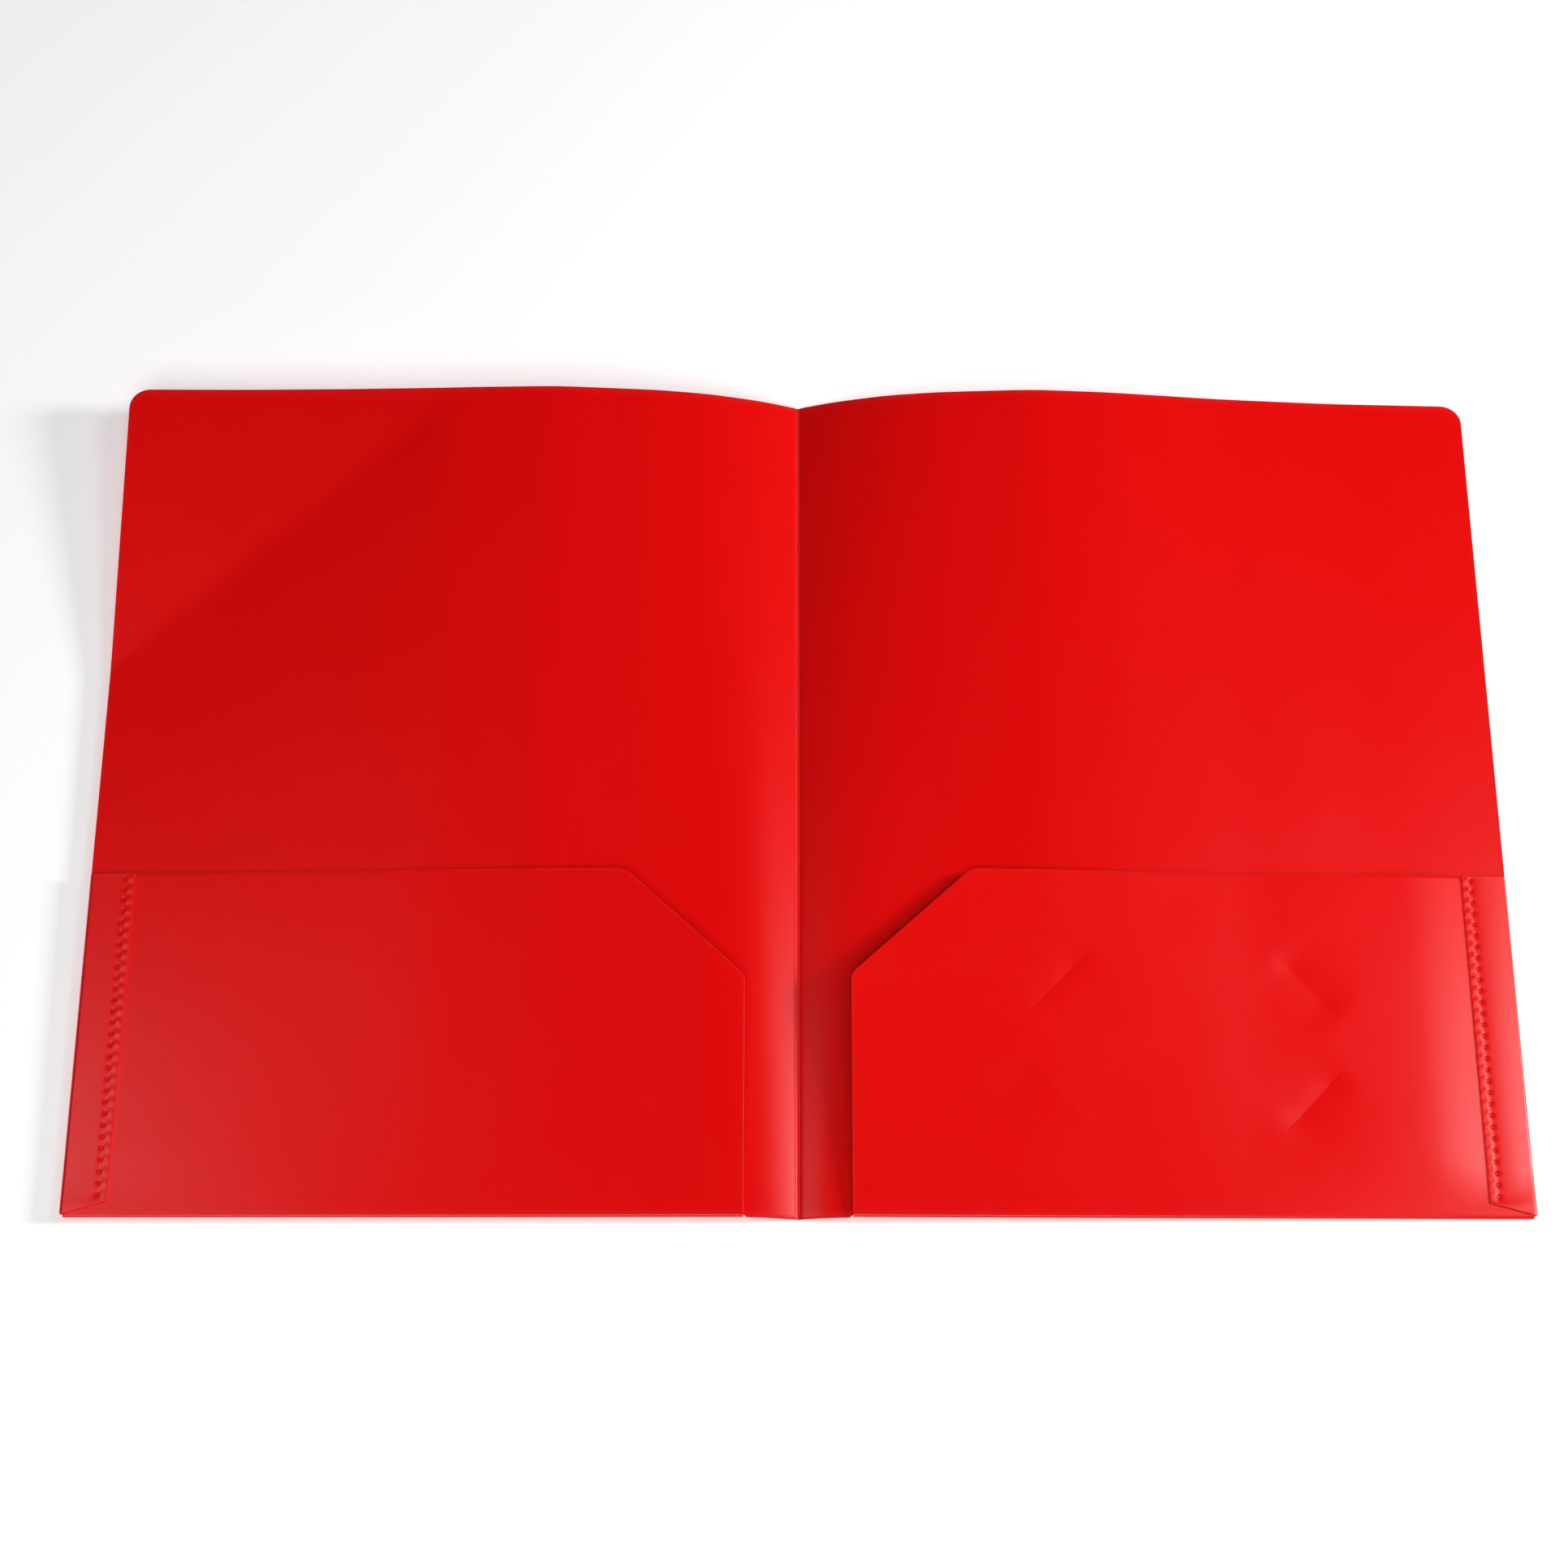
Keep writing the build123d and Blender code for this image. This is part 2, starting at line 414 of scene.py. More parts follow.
def build_stress_and_sheen_pale():
    """Slow drift between two reds, paled by strain at folds and welds, by painted highlight at cut edges.
    """
    inputs = [("Place", VECTOR, (0, 0, 0)), ("Deep", COLOR, (0.6, 0, 0, 1)),
              ("Bright", COLOR, (0.7, 0, 0, 1)), ("Pale", COLOR, (0.9, 0.2, 0.2, 1)),
              ("Stress_and_sheen", FLOAT, 0.0), ("Amount", FLOAT, 0.5)]
    group, start, end = new_group("stress_and_sheen_pale", inputs, [("Color", COLOR)])
    link = group.links.new
    drift = node(group, "ShaderNodeTexNoise", Scale=7.0, Detail=2.0, Roughness=0.5)
    link(start.outputs["Place"], drift.inputs["Vector"])
    body = mix_colours(group, drift.outputs["Fac"], start.outputs["Deep"], start.outputs["Bright"])
    speck = node(group, "ShaderNodeTexNoise", Scale=420.0, Detail=3.0)
    link(start.outputs["Place"], speck.inputs["Vector"])
    broken = math_node(group, "MULTIPLY", speck.outputs["Fac"], speck_gain)
    # The paling share carries strain at folds and welds and the painted highlight at cut edges.
    paling_share = math_node(group, "MULTIPLY", start.outputs["Stress_and_sheen"], broken)
    amount = node(group, "ShaderNodeMath", operation="MULTIPLY", use_clamp=True)
    link(paling_share, amount.inputs[0])
    link(start.outputs["Amount"], amount.inputs[1])
    paled = mix_colours(group, amount.outputs[0], body, start.outputs["Pale"])
    link(paled, end.inputs["Color"])
    return group


stress_and_sheen_pale = build_stress_and_sheen_pale()

# %% [markdown]
# One function makes every finish, because they differ only in their values. The pockets get a
# slightly lighter red than the covers, as painted light for the extra brightness on the pockets.
# The flaps shine a little more, since they were pressed. The welds were melted, so they are duller,
# and their deeper red is painted shade for their small dents. The left row was welded lightly, and
# is fainter.

# %% Satin red plastic
cover_reds = [(0.78, 0.0010, 0.0011, 1), (0.82, 0.0014, 0.0014, 1)]
# The pocket reds are lighter than the cover reds: painted light for the brighter pockets.
pocket_reds_with_painted_light = [(0.80, 0.0011, 0.0012, 1), (0.84, 0.0015, 0.0015, 1)]
# The weld reds are darker than the sheet: painted shade for the dents the welds leave.
weld_reds_with_painted_shade = [(0.50, 0.0008, 0.0009, 1), (0.55, 0.0010, 0.0011, 1)]
faint_weld_reds_with_painted_shade = [(0.70, 0.0010, 0.0011, 1), (0.74, 0.0013, 0.0013, 1)]
pale_red = (0.92, 0.10, 0.10, 1)
plastic_ior = 1.49
bump_strength = 0.12
bump_distance = 0.2 * MM


def satin_plastic(name, reds, roughness, grain=1.0, pale=0.1, specular=0.4):
    """Red sheet plastic: colour from stress_and_sheen_pale, roughness and bump from roller_grain."""
    material = bpy.data.materials.new(name)
    material.use_nodes = True
    tree = material.node_tree
    link = tree.links.new
    shader = tree.nodes["Principled BSDF"]
    shader.inputs["Specular IOR Level"].default_value = specular
    shader.inputs["IOR"].default_value = plastic_ior
    place = node(tree, "ShaderNodeTexCoord")
    stress_and_sheen = node(tree, "ShaderNodeAttribute", attribute_name="stress_and_sheen")
    colour = node(tree, "ShaderNodeGroup", node_tree=stress_and_sheen_pale)
    colour.inputs["Deep"].default_value, colour.inputs["Bright"].default_value = reds
    colour.inputs["Pale"].default_value = pale_red
    colour.inputs["Amount"].default_value = pale
    surface = node(tree, "ShaderNodeGroup", node_tree=roller_grain)
    surface.inputs["Grain"].default_value = grain
    surface.inputs["Roughness"].default_value = roughness
    bump = node(tree, "ShaderNodeBump", Strength=bump_strength, Distance=bump_distance)
    link(place.outputs["Object"], colour.inputs["Place"])
    link(place.outputs["Object"], surface.inputs["Place"])
    link(stress_and_sheen.outputs["Fac"], colour.inputs["Stress_and_sheen"])
    link(colour.outputs["Color"], shader.inputs["Base Color"])
    link(surface.outputs["Roughness"], shader.inputs["Roughness"])
    link(surface.outputs["Height"], bump.inputs["Height"])
    link(bump.outputs["Normal"], shader.inputs["Normal"])
    print("finish:", name)
    return material


melted = {"roughness": 0.30, "grain": 0.4, "pale": 0.02, "specular": 0.12}
cover_red = satin_plastic("satin_red_cover", cover_reds, roughness=0.24)
pocket_red = satin_plastic("satin_red_pocket", pocket_reds_with_painted_light, roughness=0.24)
fold_red = satin_plastic("folded_red_flap", pocket_reds_with_painted_light, roughness=0.24, pale=0.12, specular=0.55)
weld_red = satin_plastic("welded_red", weld_reds_with_painted_shade, **melted)
faint_red = satin_plastic("lightly_welded_red", faint_weld_reds_with_painted_shade, **melted)
crease_red = satin_plastic("scored_red", cover_reds, roughness=0.30, pale=0.05)

# %% [markdown]
# ## The two covers
#
# A cover is the whole leaf from the crease to its outer edge, with a rounded outer corner at the
# top. It thins at the score, and above the pocket its outer edge stands as far out as the flap's
# fold does. Near the crease the real sheet bends as the folder closes, with no joint to see. The
# solids split it into a leaf and a narrow strip. Two meshes would show that line, so one mesh
# stands for both.

# %% Shape of a cover
corner_radius = 7 * MM
crease_clearance = 0.02 * MM
crease_start = bead_radius + crease_clearance
score_depth = 0.25 * MM
score_reach = 1.0 * MM
score_span = (0.2, 1.2)
score_steps = 5
cover_steps = 150
corner_steps = 14
page_steps = 120
seam_foot_out = 16.5 * MM
flare_reach = 25 * MM


def smoothstep(low, high, value):
    """0 below low, 1 above high, with an S-shaped rise between."""
    share = np.clip((value - low) / (high - low), 0, 1)
    return share * share * (3 - 2 * share)


def placed(side, out, up, high):
    """Points from distance out of the crease, place up the page and height, on one side."""
    return np.stack([SIDES[side] * out, up, high], axis=-1)


def cover_grid(side):
    """A leaf as two grids. Across, even steps and then steps by angle round the corner's arc; up the
    page, even steps from the bottom edge to the top edge, which drops along that arc. The upper face
    is one thickness higher, less a bell-shaped groove at the crease."""
    angle = np.linspace(0, math.pi / 2, corner_steps)
    arc = outer - corner_radius + corner_radius * np.sin(angle)
    out = np.concatenate([np.linspace(crease_start, arc[0], cover_steps)[:-1], arc])
    near = crease_start + np.linspace(*score_span, score_steps) * score_reach
    out = np.sort(np.concatenate([out, near, [seam_foot_out, pocket_inner]]))
    into = np.clip((out - arc[0]) / corner_radius, 0, 1)
    top = head - corner_radius * (1 - np.sqrt(1 - into ** 2))
    bottom = np.interp(out, [seam_foot_out, pocket_inner], [gutter_foot, foot])
    share = np.linspace(0, 1, page_steps)
    up = bottom[:, None] + (top - bottom)[:, None] * share[None]
    above = smoothstep(pocket_top - (head - foot) / page_steps, pocket_top, up)
    across = out[:, None] + side_radius * above * smoothstep(outer - flare_reach, outer, out)[:, None]
    low = underside(side, across, up)
    thickness = sheet - score_depth * np.exp(-(across / score_reach) ** 2)
    return placed(side, across, up, low + thickness), placed(side, across, up, low)


print("covers start", round(crease_start / MM, 2), "mm from the middle of the crease")

# %% [markdown]
# Each cover is finished as one piece. Its cut edges are paled as a painted highlight, which fades
# out near the crease so that no pale line shows there.

# %% Covers
crease_fade = 1.2 * MM


def finish_piece(piece, material):
    """Give a piece its material and print its number of faces."""
    piece.data.materials.clear()
    piece.data.materials.append(material)
    print(piece.name, len(piece.data.polygons), "faces in", material.name)


def make_cover(side):
    """One leaf as a closed sheet, from the crease to its outer edge."""
    upper, lower = cover_grid(side)
    piece = sheet_object(f"{side}_cover_sheet", upper, lower)
    round_edges(piece)
    points = mesh_points(piece)
    # The paling here is the painted highlight along cut edges, faded out near the crease.
    paint_stress_and_sheen(piece, cut_edge_sheen(points, upper) * smoothstep(0, crease_fade, np.abs(points[:, 0])))
    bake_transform(piece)
    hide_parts(f"{side}_cover", f"{side}_gutter")
    finish_piece(piece, cover_red)


for side in SIDES:
    make_cover(side)

# %% [markdown]
# ## The pockets
#
# A pocket is the same sheet, turned up round the bottom edge in a tight roll and laid back over
# the cover. Its inner corner is cut off at a slant and stands a few millimetres open, because
# nothing holds it down there. Before the flap it swells in a low belly, and under the flap it sinks
# towards the outer edge. A cloth simulation could find such a form, but stiff sheet bends in plain
# curves that can be added up. The surface follows the cover at a small distance, carries on
# straight where the cover dips to the crease, and leans up in a slow curve towards the corner.

# %% Shape of a pocket
corner_run = 40 * MM
corner_drop = 37 * MM
tip_round = 1.6 * MM
top_ease = 0.8 * MM
mouth_corner_height = {"right": 10 * MM, "left": 9.2 * MM}
lean_start = 130 * MM
foot_lean = 0.12
straight_from = 70 * MM
slope_step = 1 * MM
curl_drop = {"right": 0.0, "left": 0.9 * MM}
curl_reach = 15 * MM
shoulder = np.array([pocket_inner, pocket_top - corner_drop])


def pocket_top_edge(out):
    """Top edge of the pocket over distance from the crease: a slant up to the level edge, with the
    corner eased by a soft minimum, and a small round at the inner tip."""
    slant = shoulder[1] + (out - pocket_inner) * corner_drop / corner_run
    easing = top_ease * np.log1p(np.exp(-np.abs(slant - pocket_top) / top_ease))
    level = np.minimum(slant, pocket_top) - easing
    inside = np.clip((out - pocket_inner) / tip_round, 0, 1)
    return np.where(inside < 1, level - tip_round * (1 - np.sqrt(1 - (1 - inside) ** 2)), level)


def pocket_lie(side, out, up):
    """The cover's height and the paper room, carried on straight from a place before the crease."""
    near = np.maximum(out, straight_from)
    level = underside(side, near, up)
    slope = (underside(side, near + slope_step, up) - level) / slope_step
    return level + (out - near) * slope + pocket_lift


def pocket_lean(side, out, up):
    """A lean that grows with the square of the way to the inner edge and with the way up, and a
    short curl down at that edge."""
    rise = foot_lean + (1 - foot_lean) * (up - foot) / (shoulder[1] - foot)
    share = np.clip((lean_start - out) / (lean_start - pocket_inner), 0, 1) ** 2
    corner = mouth_corner_height[side] - sheet - pocket_lie(side, shoulder[:1], shoulder[1:])
    curl = np.clip(1 - (out - pocket_inner) / curl_reach, 0, 1) ** 2
    return rise * (corner * share - curl_drop[side] * curl)


for side in SIDES:
    print(side, "pocket corner stands at", round(mouth_corner_height[side] / MM, 1), "mm")

# %% Belly and outer edge of a pocket
belly_height = {"right": 1.0 * MM, "left": 0.3 * MM}
belly_crest = 203 * MM
belly_reach = 60 * MM
belly_foot = 22 * MM
edge_droop = {"right": 0.65 * MM, "left": 0.25 * MM}
flap_level = 3.75 * MM
droop_start = flap_inner + flap_level
droop_foot = 15 * MM


def pocket_belly(side, out, up):
    """Swelling of the pocket before the flap: rises to a crest, and rolls off to the flap in an arc."""
    rise = smoothstep(belly_crest - belly_reach, belly_crest, out)
    rolled = np.clip((out - belly_crest) / (flap_inner - belly_crest), 0, 1) ** 2
    return belly_height[side] * rise * (1 - rolled) * smoothstep(foot, foot + belly_foot, up)


def droop(side, out, up, edge):
    """How far pocket and flap sink towards the outer edge, growing with the square of the way."""
    share = np.clip((out - droop_start) / (edge - droop_start), 0, 1)
    return edge_droop[side] * share ** 2 * smoothstep(foot, foot + droop_foot, up)


def pocket_underside(side, out, up):
    """Height of the pocket sheet: its lie, its belly and its lean, less its sinking outer edge."""
    lean = pocket_lean(side, out, up)
    sink = droop(side, out, up, outer + side_radius)
    return pocket_lie(side, out, up) + pocket_belly(side, out, up) + lean - sink


for side in SIDES:
    print(side, "belly", round(belly_height[side] / MM, 2), "mm,",
          "sinking edge", round(edge_droop[side] / MM, 2), "mm")

# %% [markdown]
# The right pocket has four slanted slits that hold a card by its corners. The die pushes both lips
# of a slit down a hair, so that it lies in a shallow valley with one bright side and one dark one;
# at one of them the lips stand up instead. Dark lines in the material could stand for the slits,
# but nothing could be pushed through them, so a Boolean modifier makes real cuts.

# %% Card slits
slit_centre = np.array([126.4 * MM, gutter_foot + 58.5 * MM])
slit_half = np.array([40.8 * MM, 20.0 * MM])
slit_length = 27.3 * MM
slit_width = 0.06 * MM
slit_angle = math.radians(46.5)
lip_height = {(-1, -1): 0.17 * MM, (-1, 1): -0.40 * MM, (1, -1): -0.50 * MM, (1, 1): -0.38 * MM}
lip_reach = 7 * MM
lip_full = 0.2 * slit_length
lip_end = 0.62 * slit_length


def slit_frame(across, up):
    """Middle of a slit, the way along it, and the way towards the card."""
    middle = slit_centre + slit_half * (across, up)
    turn = -across * up * slit_angle
    along = np.array([math.cos(turn), math.sin(turn)])
    inward = np.array([-along[1], along[0]])
    inward *= np.sign(np.dot(inward, slit_centre - middle))
    return middle, along, inward


def slit_lips(out, up):
    """Valley or ridge along every slit, falling off with distance and towards the slit's ends."""
    total = np.zeros(out.shape)
    for place, height in lip_height.items():
        middle, along, inward = slit_frame(*place)
        offset = np.stack([out - middle[0], up - middle[1]], -1)
        span = 1 - smoothstep(lip_full, lip_end, np.abs(offset @ along))
        total += height * span * np.exp(-np.abs(offset @ inward) / lip_reach)
    return total


print(len(lip_height), "slits", round(slit_length / MM, 1), "mm long")

# %% Cut the slits
cutter_top = 40 * MM
cutter_bottom = -5 * MM
SQUARE = np.array([(-1, -1), (1, -1), (1, 1), (-1, 1)]) / 2
BLOCK_POINTS = 8
BLOCK_FACES = np.array([(3, 2, 1, 0), (4, 5, 6, 7), (0, 1, 5, 4),
                        (1, 2, 6, 5), (2, 3, 7, 6), (3, 0, 4, 7)])


def slit_cutter():
    """Thin upright blocks, one through each slit: its plan at the bottom and again at the top."""
    points, faces = [], []
    for number, place in enumerate(lip_height):
        middle, along, inward = slit_frame(*place)
        lengthways = SQUARE[:, :1] * along * slit_length
        plan = middle + lengthways + SQUARE[:, 1:] * inward * slit_width
        points += [np.column_stack([plan, np.full(4, z)]) for z in (cutter_bottom, cutter_top)]
        faces += (BLOCK_FACES + BLOCK_POINTS * number).tolist()
    return new_object("slit_cutter", np.concatenate(points), faces)


def cut_slits(piece):
    """Take the slits out of a pocket and drop the cutter."""
    cutter = slit_cutter()
    cut = piece.modifiers.new("card slits", "BOOLEAN")
    cut.object = cutter
    cut.operation = "DIFFERENCE"
    cut.solver = "EXACT"
    apply_modifiers(piece)
    smooth_faces(piece)
    bpy.data.objects.remove(cutter)
    print(piece.name, "has its slits")


# %% [markdown]
# The pocket's grid starts under the roll at the bottom edge, goes half a turn round it and then up to
# the top edge. Roll and panel could be two pieces, but on the real folder no seam lies between
# them. One mesh stands for the pocket, its roll and the loose corner, which on the folder can be
# pressed down.

# %% Pockets
fold_fade = 1.0 * MM
fold_stress = 0.5
roll_steps = 12
tip_steps = 6
tip_clear = 0.2 * MM
pocket_steps = 190
pocket_up_steps = 84


def pocket_grid(side):
    """Pocket sheet as two grids. Going up a column, a half turn round the roll at the bottom edge
    and then even steps to the top edge; the lower face is the same path one thickness inside."""
    out = np.linspace(pocket_inner, outer, pocket_steps)
    fine = pocket_inner + tip_round * (1 - np.cos(np.linspace(0, math.pi / 2, tip_steps)))
    out = np.concatenate([fine, out[out > fine[-1] + tip_clear]])
    turn = np.linspace(-math.pi / 2, math.pi / 2, roll_steps)[None, :-1]
    share = np.linspace(0, 1, pocket_up_steps)
    up = foot + (pocket_top_edge(out)[:, None] - foot) * share[None]
    across = np.broadcast_to(out[:, None], up.shape)
    low = pocket_underside(side, across, up)
    if side == "right":
        low = low + slit_lips(across, up)
    base = low[:, :1] - pocket_lift + fold_radius
    grids = []
    for radius, lift in ((fold_radius, sheet), (fold_radius - sheet, 0.0)):
        roll_high = base + radius * np.sin(turn)
        roll_up = np.broadcast_to(foot - radius * np.cos(turn), roll_high.shape)
        roll_out = np.broadcast_to(out[:, None], roll_high.shape)
        roll = placed(side, roll_out, roll_up, roll_high)
        grids.append(np.concatenate([roll, placed(side, across, up, low + lift)], axis=1))
    return grids


def make_pocket(side):
    """One pocket as a closed sheet, with its bottom roll and its loose corner."""
    upper, lower = pocket_grid(side)
    piece = sheet_object(f"{side}_pocket_sheet", upper, lower)
    round_edges(piece)
    if side == "right":
        cut_slits(piece)
    points = mesh_points(piece)
    fold = fold_stress * np.exp(-np.maximum(points[:, 1] - foot, 0) / fold_fade)
    # Painted highlight along cut edges, with paling by strain at the bottom fold.
    paint_stress_and_sheen(piece, np.maximum(cut_edge_sheen(points, upper), fold))
    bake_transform(piece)
    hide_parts(f"{side}_pocket", f"{side}_pocket_mouth", f"{side}_bottom_fold")
    finish_piece(piece, pocket_red)


for side in SIDES:
    make_pocket(side)

# %% [markdown]
# ## The side flaps
#
# At the outer edge a narrow flap turns in over the pocket. Its fold is a half turn wide enough
# to hold the pocket's edge, and its foot is cut to a mitre so that it clears the bottom roll. The
# tool that welds it presses it down along its inner edge and leaves a ribbed strip there, with a
# pit at every weld. A bump could show the pits, but they catch light as real dents do only when
# they are in the mesh, so the grid has a step every third of a millimetre up the edge.

# %% What the welding tool leaves
weld_inset = 3 * MM
weld_offset = 0.3 * MM
weld_pitch = 3.88 * MM
weld_first = 7 * MM
weld_count = 29
weld_ups = gutter_foot + weld_first + weld_pitch * np.arange(weld_count)
weld_depth = {"right": 1.3, "left": 0.9}
strip_height = 0.06 * MM
strip_wave = 0.04 * MM
strip_rise = 0.5 * MM
strip_level = 0.75 * weld_inset
strip_end = 0.95 * weld_inset
valley_place = 1.15 * weld_inset
valley_reach = 0.5 * weld_inset
weld_valley = 0.01 * MM
weld_pit = 0.14 * MM
weld_spread = 0.75 * MM


def welded(up):
    """0 at the foot of a flap, 1 from the first weld up."""
    return smoothstep(weld_ups[0] - weld_pitch, weld_ups[0], up)


def pressing(out, up):
    """Share of the welding tool's pressure on a flap: none at the foot, full from the first weld up and
    as far out as the welds, then less and less towards the outer edge."""
    return welded(up) * np.clip((outer - out) / (outer - droop_start), 0, 1)


def flap_relief(side, out, up):
    """Relief of a flap: a ribbed strip along the inner edge, a valley beside it, and a pit in the
    valley at every weld. Ribs are a cosine of the way up; valley and pits are bell curves."""
    inside = out - flap_inner
    strip = smoothstep(0, strip_rise, inside) * (1 - smoothstep(strip_level, strip_end, inside))
    along = np.cos(2 * math.pi * (up - weld_ups[0]) / weld_pitch)
    valley = np.exp(-((inside - valley_place) / valley_reach) ** 2)
    nearest = weld_ups[0] + weld_pitch * np.round((up - weld_ups[0]) / weld_pitch)
    off = np.hypot(inside - weld_inset - weld_offset, up - nearest)
    pit = np.exp(-(off / weld_spread) ** 2)
    relief = strip * (strip_height + strip_wave * along) - valley * weld_valley - pit * weld_pit
    return weld_depth[side] * welded(up) * relief


print(weld_count, "welds from", round((weld_ups[0] - gutter_foot) / MM, 1), "to",
      round((weld_ups[-1] - gutter_foot) / MM, 1), "mm up")

# %% Flaps
flap_steps = 46
flap_turn_steps = 12
flap_up_steps = 360
flap_foot_inner = 5 * MM
pressed = {"right": 0.33 * MM, "left": 0.15 * MM}
pressed_below = 0.09 * MM


def flap_grid(side):
    """Flap as two grids: across, a half turn round the outer edge and then steps in to the flap's
    inner edge; up the page, even steps from the mitred foot to the pocket's top. The flap sinks with
    the pocket, the fold less and less down to nothing underneath, and is pressed at the welds."""
    turn = np.linspace(-math.pi / 2, math.pi / 2, flap_turn_steps)[:-1]
    inwards = np.linspace(0, 1, flap_steps)
    share = np.linspace(0, 1, flap_up_steps)
    width = outer - flap_inner
    foot_rise = flap_foot_inner + foot - fold_radius - flap_foot
    under = np.minimum(np.concatenate([np.sin(turn), np.zeros(flap_steps)]), 0)[:, None]
    grids = []
    for radius, lift in ((side_radius, sheet), (side_radius - sheet, 0.0)):
        out = np.concatenate([outer + radius * np.cos(turn), outer - width * inwards])
        start = flap_foot + foot_rise * np.clip((outer - out) / width, 0, 1)
        up = start[:, None] + (pocket_top - start[:, None]) * share[None]
        across = np.broadcast_to(out[:, None], up.shape)
        lie = underside(side, np.minimum(across, outer), up)
        sink = droop(side, across, up, outer + radius)
        rolled = side_radius + radius * np.sin(turn)
        rise = np.concatenate([rolled, np.full(flap_steps, flap_lift + lift)])[:, None] - sink
        rise -= under * sink
        if lift:
            rise += flap_relief(side, across, up) - pressed[side] * pressing(across, up)
        else:
            rise -= pressed_below * pressing(across, up)
        grids.append(placed(side, across, up, lie + rise))
    return grids


def make_flap(side):
    """One flap with its fold, riding on the leaf."""
    upper, lower = flap_grid(side)
    piece = sheet_object(f"{side}_flap_sheet", upper, lower)
    round_edges(piece)
    points = mesh_points(piece)
    fold = fold_stress * smoothstep(outer - fold_fade, outer + side_radius, np.abs(points[:, 0]))
    # Painted highlight along cut edges, with paling by strain at the outer fold.
    paint_stress_and_sheen(piece, np.maximum(cut_edge_sheen(points, upper), fold))
    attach(piece, f"{side}_leaf")
    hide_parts(f"{side}_side_flap", f"{side}_side_fold")
    finish_piece(piece, fold_red)


for side in SIDES:
    make_flap(side)

# %% [markdown]
# ## The weld marks
#
# A toothed tool welds each flap to its pocket and leaves a row of small marks, each with a raised
# lip round a sunken middle. The left row is fainter than the right one. Each mark could be an
# instance of one object, but every copy would then need its own place on a bent sheet. Instead one
# mark is a disc of rings whose height follows a wave, and the row is that disc added to every
# place at once.

# %% Shape of a weld mark
weld_radius = 0.85 * MM
weld_rings = np.array([0.35, 0.6, 0.8, 1.0])
weld_sectors = 14
weld_lip = 0.05 * MM
weld_lip_place = 0.72
weld_lip_spread = 0.2
weld_sink = 0.06 * MM
sink_flat = 0.2
sink_end = 0.7
weld_dome = 0.07 * MM
weld_seat = 0.02 * MM


def weld_profile(share):
    """Height of a mark from its middle to its rim: sunken, then a lip, then down into the flap."""
    lip = np.exp(-((share - weld_lip_place) / weld_lip_spread) ** 2) * weld_lip
    sunken = lip - weld_sink * (1 - smoothstep(sink_flat, sink_end, share))
    return sunken + weld_dome * (1 - share ** 4) - weld_seat


def weld_disc():
    """Plan of one mark, a middle point and rings of points, and each point's share of the radius."""
    angle = np.arange(weld_sectors) * 2 * math.pi / weld_sectors
    ring = np.stack([np.cos(angle), np.sin(angle)], -1) * weld_radius
    rings = (weld_rings[:, None, None] * ring[None]).reshape(-1, 2)
    share = np.concatenate([[0.0], np.repeat(weld_rings, weld_sectors)])
    return np.concatenate([np.zeros((1, 2)), rings]), share


def weld_faces(count):
    """Faces of the whole row. Each mark has a fan round its middle, rings of quads, a wall down to a
    copy of the disc, and that copy turned over; count is the number of points in a disc."""
    index = np.arange(1, count).reshape(-1, weld_sectors)
    closed = np.concatenate([index, index[:, :1]], axis=1)
    fan = np.stack([np.zeros(weld_sectors, int), closed[0, :-1], closed[0, 1:]], -1)
    quads = grid_quads(closed)
    edge = closed[-1]
    wall = np.stack([edge[:-1], edge[1:], edge[1:] + count, edge[:-1] + count], -1)
    shift = 2 * count * np.arange(weld_count)[:, None, None]
    faces = []
    for part in (fan, quads, wall, fan[:, ::-1] + count, quads[:, ::-1] + count):
        faces += (part[None] + shift).reshape(-1, part.shape[1]).tolist()
    return faces


print("a mark has", weld_disc()[1].size, "points on its upper face")

# %% Weld marks
weld_skirt = 0.3 * MM
weld_stress = 0.8
pale_place = 0.75
pale_spread = 0.2
mark_angle = math.radians(60)
# Both weld finishes are darker than the sheet, as painted shade for the dents.
weld_finish = {"right": weld_red, "left": faint_red}


def make_welds(side):
    """A row of marks along the flap's inner edge, on the flap's upper face."""
    plan, share = weld_disc()
    out = flap_inner + weld_inset + weld_offset + plan[None, :, 0] + 0 * weld_ups[:, None]
    up = weld_ups[:, None] + plan[None, :, 1]
    level = underside(side, out, up) + flap_lift + sheet - pressed[side] * pressing(out, up)
    high = level + flap_relief(side, out, up) + weld_profile(share)[None]
    discs = [placed(side, out, up, high), placed(side, out, up, high - weld_skirt)]
    piece = new_object(f"{side}_weld_marks", np.concatenate(discs, axis=1), weld_faces(share.size))
    smooth_faces(piece, mark_angle)
    shares = np.tile(share, 2 * weld_count)
    paint_stress_and_sheen(piece, weld_stress * np.exp(-((shares - pale_place) / pale_spread) ** 2))
    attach(piece, f"{side}_leaf")
    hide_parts(f"{side}_weld_row")
    finish_piece(piece, weld_finish[side])


for side in SIDES:
    make_welds(side)

# %% [markdown]
# ## The crease
#
# The score between the leaves is a thin web of squeezed plastic, level with the leaves on both sides
# of it and round below, so that it can turn. It could be part of a cover, but then it would tear
# from the other cover as the folder closes. So it is a bar of its own, and rides on the strip of
# the right leaf.

# %% Crease
crease_along = 160
crease_round = 16
crease_axis = bead_high.z - bead_radius
crease_stress = 0.5
web_top = 0.4 * MM


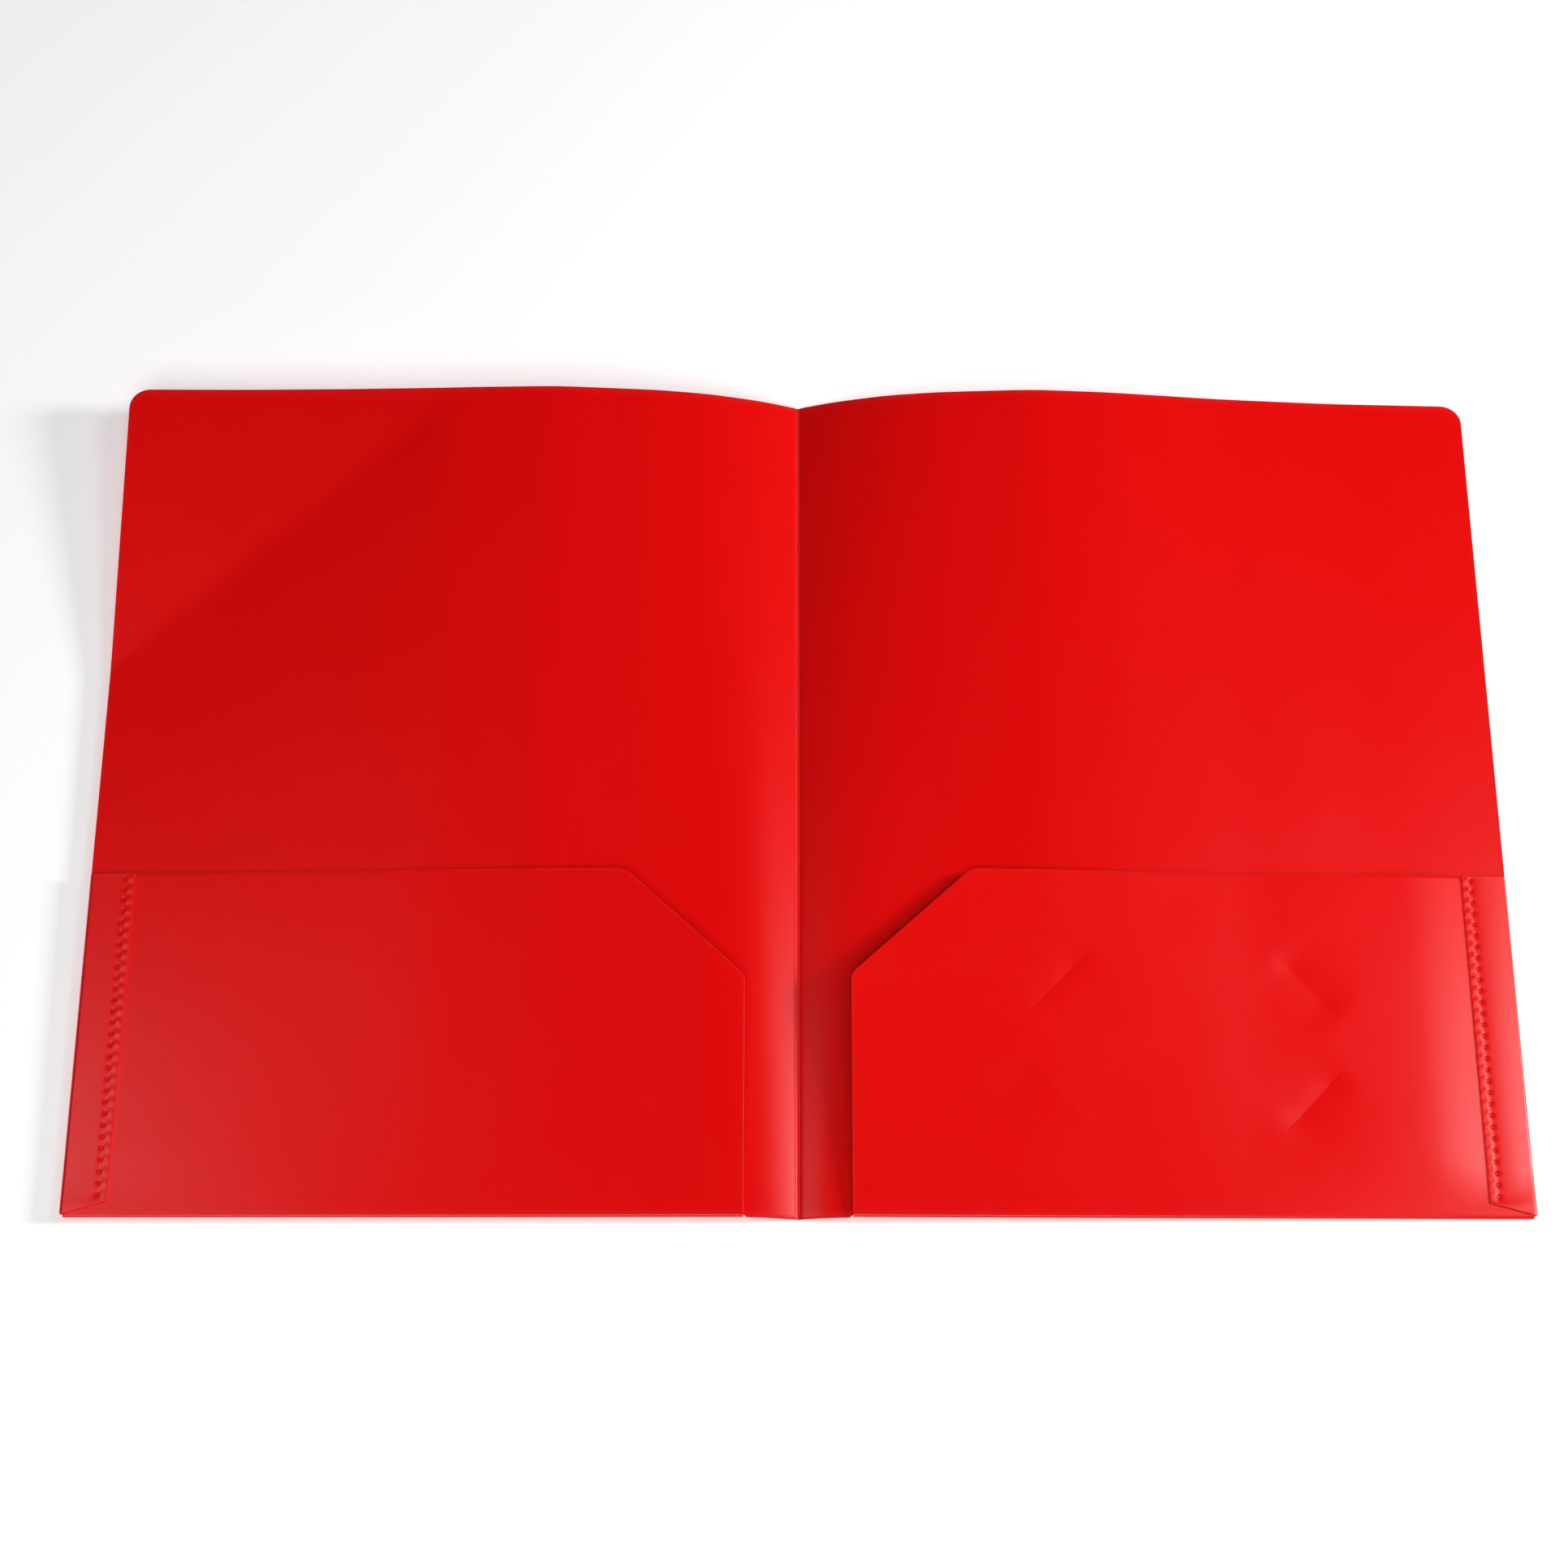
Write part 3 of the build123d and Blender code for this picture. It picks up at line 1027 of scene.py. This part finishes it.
def make_crease():
    """A round bar along the crease, cut flat at the table and level with the leaves, with closed ends."""
    shape = (crease_along, crease_round)
    angle = np.linspace(0, 2 * math.pi, crease_round, endpoint=False)
    x = np.broadcast_to(bead_radius * np.sin(angle), shape)
    y = np.broadcast_to(np.linspace(gutter_foot, head, crease_along)[:, None], shape)
    z = np.broadcast_to(np.clip(crease_axis + bead_radius * np.cos(angle), 0, web_top), shape)
    index = np.arange(x.size).reshape(shape)
    closed = np.concatenate([index, index[:, :1]], axis=1)
    caps = [index[0, ::-1].tolist(), index[-1].tolist()]
    piece = new_object("crease_bead", np.stack([x, y, z], -1), grid_quads(closed).tolist() + caps)
    smooth_faces(piece, mark_angle)
    paint_stress_and_sheen(piece, np.full(x.size, crease_stress))
    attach(piece, "right_gutter")
    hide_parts("spine_crease")
    finish_piece(piece, crease_red)


make_crease()

# %% [markdown]
# ## The table
#
# The folder lies on a plain pale table. A white backdrop with no shadow would make the folder float,
# so the table is a large plane that takes soft shadows. It glows a little, which keeps it near white.

# %% Table
table_width = 6.0
table_drop = 0.02 * MM
table_colour = (0.92, 0.92, 0.92, 1)
table_roughness = 0.8
table_glow = 0.3
WHITE = (1, 1, 1, 1)


def make_table():
    """A large pale plane just under the folder."""
    corners = np.column_stack([SQUARE * table_width, np.full(4, -table_drop)])
    table = new_object("table", corners, [(0, 1, 2, 3)])
    material = bpy.data.materials.new("pale_table")
    material.use_nodes = True
    shader = material.node_tree.nodes["Principled BSDF"]
    shader.inputs["Base Color"].default_value = table_colour
    shader.inputs["Roughness"].default_value = table_roughness
    shader.inputs["Emission Color"].default_value = WHITE
    shader.inputs["Emission Strength"].default_value = table_glow
    table.data.materials.append(material)
    print("table", table_width, "m wide")


make_table()

# %% [markdown]
# ## The light
#
# A sky picture could light the scene, but a few soft area lights are easier to steer. The main one
# stands low on the right, so that the slope left of the crease is bright and the slope right of it
# is dark. A wide one in front fills the shadows, and two small ones overhead put a hazy sheen on
# the leaves. A faint white world keeps the darkest places from going black.

# %% Lights
world_strength = 0.04
nearly_up = (0, 1, 0.001)

# Place, the point it is turned towards, width and height, all in metres, and power in watts
lights = {
    "key_right": ((1.47, 0.10, 0.64), (0.0, 0.0, 0.0), (0.30, 0.30), 21.0),
    "front_fill": ((-0.2, -1.1, 1.3), (0.0, 0.0, 0.0), (1.3, 0.8), 14.0),
    "overhead_right": ((0.72, 0.11, 1.0), (0.1, 0.0, 0.0), (0.36, 0.40), 2.8),
    "overhead_left": ((-0.54, 0.02, 1.0), (-0.1, 0.0, 0.0), (0.30, 0.40), 0.7),
}


def add_area(name, place, aim, size, power):
    """A rectangular soft light at a place, turned towards a point."""
    light = bpy.data.lights.new(name, "AREA")
    light.shape = "RECTANGLE"
    light.size, light.size_y = size
    light.energy = power
    lamp = bpy.data.objects.new(name, light)
    lamp.location = place
    direction = np.array(aim) - np.array(place)
    from_z = -direction / np.linalg.norm(direction)
    side_way = np.cross(nearly_up, from_z)
    side_way /= np.linalg.norm(side_way)
    turn = np.column_stack([side_way, np.cross(from_z, side_way), from_z])
    lamp.rotation_mode = "QUATERNION"
    lamp.rotation_quaternion = Matrix(turn.tolist()).to_quaternion()
    bpy.context.scene.collection.objects.link(lamp)
    print(name, power, "W")


for name, values in lights.items():
    add_area(name, *values)

world = bpy.data.worlds.new("studio")
world.use_nodes = True
background = world.node_tree.nodes["Background"]
background.inputs["Color"].default_value = WHITE
background.inputs["Strength"].default_value = world_strength
bpy.context.scene.world = world
bpy.context.scene.view_settings.view_transform = "Standard"

# %% [markdown]
# ## The camera
#
# The camera stands in front and looks down at about 66 degrees. It could be aimed by eye, but the
# place, the turn and the lens were fitted to the folder's corners instead, so that the outlines agree.

# %% Camera
PHOTO_PIXELS = 1932
focal_pixels = 3888.4
sensor_width = 36.0
clip_start = 0.01
eye = (0.88 * MM, -425.7 * MM, 981.2 * MM)
yaw, pitch, roll = (math.radians(a) for a in (-0.753, 66.396, -0.733))


def add_camera():
    """Camera from its place, its heading from +Y, its dip below level and its turn about the view."""
    lens = bpy.data.cameras.new("photo_camera")
    lens.sensor_width = sensor_width
    lens.lens = sensor_width * focal_pixels / PHOTO_PIXELS
    lens.clip_start = clip_start
    level = math.cos(pitch)
    forward = np.array([math.sin(yaw) * level, math.cos(yaw) * level, -math.sin(pitch)])
    right = np.array([math.cos(yaw), -math.sin(yaw), 0.0])
    above = np.cross(right, forward)
    turned = right * math.cos(roll) + above * math.sin(roll)
    upward = np.cross(turned, forward)
    view = np.column_stack([turned, upward, -forward])
    camera = bpy.data.objects.new("photo_camera", lens)
    camera.rotation_mode = "QUATERNION"
    camera.rotation_quaternion = Matrix(view.tolist()).to_quaternion()
    camera.location = eye
    bpy.context.scene.collection.objects.link(camera)
    bpy.context.scene.camera = camera
    print("lens", round(lens.lens, 2), "mm")


add_camera()
